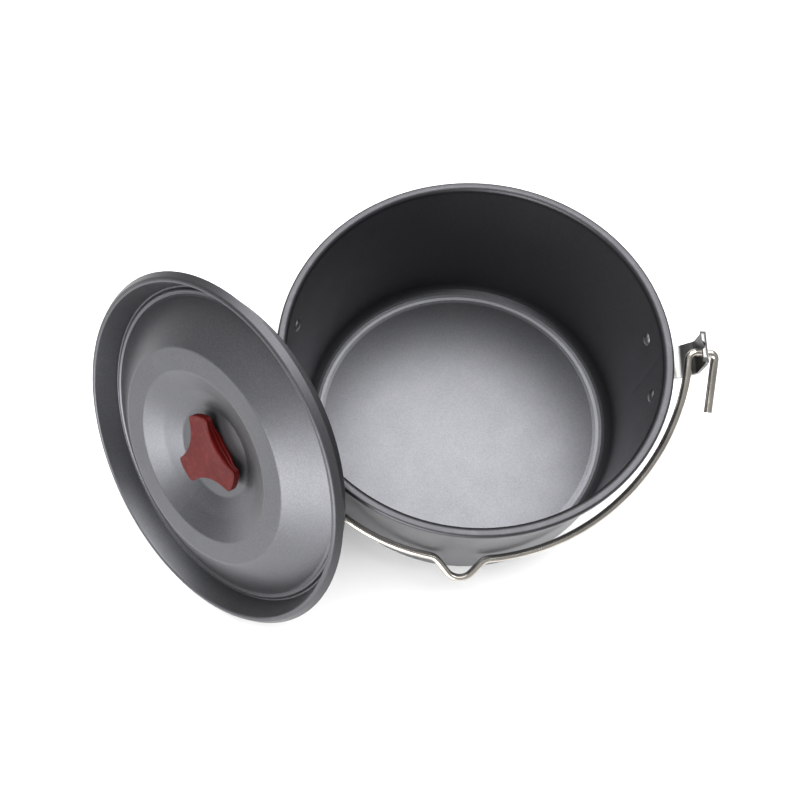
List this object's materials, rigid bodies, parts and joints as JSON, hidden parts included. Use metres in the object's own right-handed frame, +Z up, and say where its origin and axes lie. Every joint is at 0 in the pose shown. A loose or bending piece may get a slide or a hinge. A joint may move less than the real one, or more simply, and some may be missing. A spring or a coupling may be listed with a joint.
{
  "type": "camping cook pot",
  "caption": "Grey aluminium camping cook pot with a folding wire bail handle and a loose lid with a red lobed knob leaning on its side.",
  "frame": {"origin": "centre of the pot's underside, on the floor plane", "axes": "+Z up; X is the bail's hinge line, -X towards the leaning lid; -Y is the side the bail is folded down to"},
  "size_m": [0.3361, 0.2363, 0.1557],
  "materials": {
    "anodised_aluminium": "hard anodised, fine satin",
    "bail_wire": "drawn stainless wire",
    "ear_steel": "pressed stainless sheet, satin",
    "rivet_metal": "satin",
    "knob_red": "moulded heat-resistant plastic, fine satin",
    "insert_brass": "turned",
    "fixing_steel": "plain stainless"
  },
  "bodies": {
    "pot": {"pot_body": "anodised_aluminium", "left_ear": "ear_steel", "right_ear": "ear_steel", "left_front_rivet": "rivet_metal", "left_rear_rivet": "rivet_metal", "right_front_rivet": "rivet_metal", "right_rear_rivet": "rivet_metal"},
    "bail": {"bail_handle": "bail_wire"},
    "lid": {"lid": "anodised_aluminium", "lid_knob": "knob_red", "knob_insert": "insert_brass", "knob_screw": "fixing_steel", "knob_washer": "fixing_steel"}
  },
  "joints": [
    {"name": "bail_hinge", "type": "hinge", "parent": "pot", "child": "bail", "pos_m": [0, 0, 0.102], "axis": [-1, 0, 0], "range_deg": [0, 242.5]},
    {"name": "lid_clearing_slide", "type": "slide", "parent": "pot", "child": "lid", "axis": [-0.6947, -0.7193, 0], "range_m": [0, 0.127]}
  ],
  "couplings": [
    {"joint": "lid_clearing_slide", "follows": "bail_hinge", "m_per_rad": 0.0298}
  ]
}
